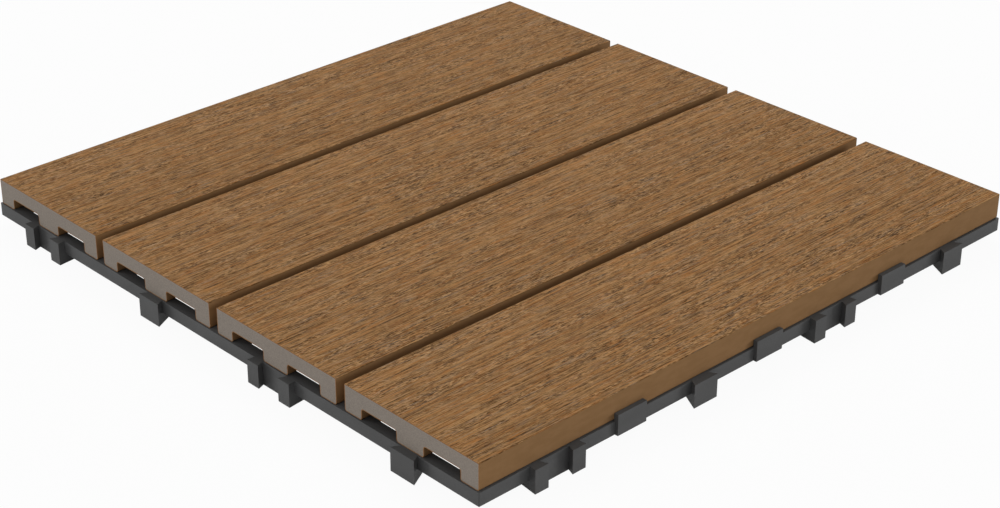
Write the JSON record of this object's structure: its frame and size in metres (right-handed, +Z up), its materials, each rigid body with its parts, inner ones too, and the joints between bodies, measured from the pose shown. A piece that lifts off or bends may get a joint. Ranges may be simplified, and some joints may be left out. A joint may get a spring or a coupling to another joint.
{
  "type": "interlocking deck tile",
  "caption": "Square deck tile: side-by-side grooved composite boards screwed to a moulded plastic grid base with dovetail tongues and sockets along each side.",
  "frame": {"origin": "on the ground, under the middle of the tile", "axes": "+Z up out of the walking surface, +Y along the boards, +X across them; the boards' cut ends face -Y and +Y"},
  "size_m": [0.3078, 0.3078, 0.0215],
  "materials": {
    "base_plastic": "dark grey moulded plastic, matt",
    "board_composite": "brown capped wood-plastic composite with an embossed grain on top",
    "screw_steel": "bright stainless steel"
  },
  "bodies": {
    "root": {"base_grid": "base_plastic", "board_1": "board_composite", "board_2": "board_composite", "board_3": "board_composite", "board_4": "board_composite", "board_screws": "screw_steel"}
  },
  "joints": []
}
